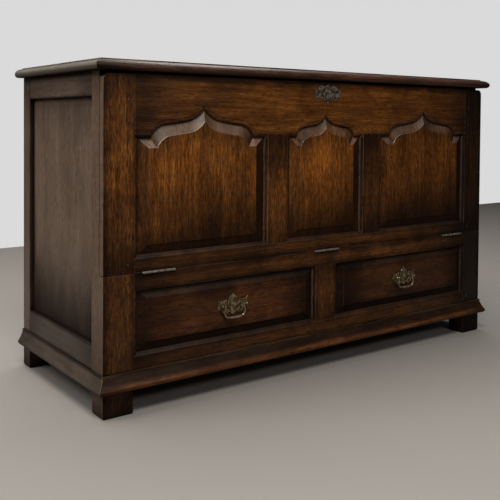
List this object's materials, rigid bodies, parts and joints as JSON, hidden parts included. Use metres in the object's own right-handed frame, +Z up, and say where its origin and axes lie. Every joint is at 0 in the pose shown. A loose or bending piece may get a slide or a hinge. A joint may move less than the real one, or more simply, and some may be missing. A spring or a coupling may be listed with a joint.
{
  "type": "mule chest",
  "caption": "Joined oak mule chest: lift-up lid, hinged fall front with ogee-arched fielded panels, drawers below with brass bail handles, moulded base on stile feet.",
  "frame": {"origin": "on the floor, under the middle of the chest's bounding box", "axes": "+X across the front from the left drawer to the right one, +Y from the front to the back, +Z up"},
  "size_m": [1.451, 0.5458, 0.855],
  "materials": {
    "oak_front": "old waxed oak, warm brown, darker in the corners and recesses",
    "oak_side": "old waxed oak, greyer brown, dulled",
    "oak_lid": "old waxed oak, reddish brown, worn pale on the upper edge",
    "oak_inner": "bare oak, dry and dusty",
    "brass": "aged brass, olive brown with rubbed highlights",
    "iron": "dark wrought iron, slightly rusted"
  },
  "bodies": {
    "carcass": {"back_boards": "oak_inner", "back_bottom_rail": "oak_inner", "back_mid_rail": "oak_inner", "back_top_rail": "oak_inner", "drawer_muntin": "oak_front", "drawer_runners": "oak_inner", "fall_hinge_fixed_leaves": "brass", "floor_bearers": "oak_inner", "floor_boards": "oak_inner", "front_base_moulding": "oak_front", "front_bottom_rail": "oak_front", "front_left_post": "oak_front", "front_mid_rail": "oak_front", "front_right_post": "oak_front", "front_top_rail": "oak_inner", "hinge_pins": "brass", "left_base_moulding": "oak_side", "left_bottom_rail": "oak_side", "left_side_panel": "oak_side", "left_top_rail": "oak_side", "lid_hinge_fixed_leaves": "brass", "rear_left_post": "oak_side", "rear_right_post": "oak_side", "right_base_moulding": "oak_side", "right_bottom_rail": "oak_side", "right_side_panel": "oak_side", "right_top_rail": "oak_side"},
    "fall_front": {"escutcheon": "brass", "fall_bottom_rail": "oak_front", "fall_centre_panel": "oak_front", "fall_hinge_moving_leaves": "brass", "fall_left_muntin": "oak_front", "fall_left_panel": "oak_front", "fall_left_stile": "oak_front", "fall_right_muntin": "oak_front", "fall_right_panel": "oak_front", "fall_right_stile": "oak_front", "fall_top_rail": "oak_front", "lock_case": "iron"},
    "lock_bolt": {"lock_bolt": "iron"},
    "lid": {"lid_front_board": "oak_lid", "lid_hinge_moving_leaves": "brass", "lid_rear_board": "oak_lid", "lock_strike_plate": "iron"},
    "drawer_left": {"drawer_left_back": "oak_inner", "drawer_left_bottom": "oak_inner", "drawer_left_front": "oak_front", "drawer_left_handle_plate": "brass", "drawer_left_handle_posts": "brass", "drawer_left_inner_side": "oak_inner", "drawer_left_outer_side": "oak_inner"},
    "drawer_right": {"drawer_right_back": "oak_inner", "drawer_right_bottom": "oak_inner", "drawer_right_front": "oak_front", "drawer_right_handle_plate": "brass", "drawer_right_handle_posts": "brass", "drawer_right_inner_side": "oak_inner", "drawer_right_outer_side": "oak_inner"},
    "bail_left": {"drawer_left_bail": "brass"},
    "bail_right": {"drawer_right_bail": "brass"}
  },
  "joints": [
    {"name": "fall_hinge", "type": "hinge", "parent": "carcass", "child": "fall_front", "pos_m": [0, -0.25955, 0.3405], "axis": [1, 0, 0], "range_deg": [0, 90]},
    {"name": "lid_hinge", "type": "hinge", "parent": "carcass", "child": "lid", "pos_m": [0, 0.26965, 0.82685], "axis": [-1, 0, 0], "range_deg": [0, 100]},
    {"name": "bolt_slide", "type": "slide", "parent": "fall_front", "child": "lock_bolt", "axis": [0, 0, 1], "range_m": [0, 0.012]},
    {"name": "drawer_left_slide", "type": "slide", "parent": "carcass", "child": "drawer_left", "axis": [0, -1, 0], "range_m": [0, 0.35]},
    {"name": "bail_left_swing", "type": "hinge", "parent": "drawer_left", "child": "bail_left", "pos_m": [-0.327, -0.26555, 0.2263], "axis": [-1, 0, 0], "range_deg": [-8, 90]},
    {"name": "drawer_right_slide", "type": "slide", "parent": "carcass", "child": "drawer_right", "axis": [0, -1, 0], "range_m": [0, 0.35]},
    {"name": "bail_right_swing", "type": "hinge", "parent": "drawer_right", "child": "bail_right", "pos_m": [0.327, -0.26555, 0.2263], "axis": [-1, 0, 0], "range_deg": [-8, 90]}
  ]
}
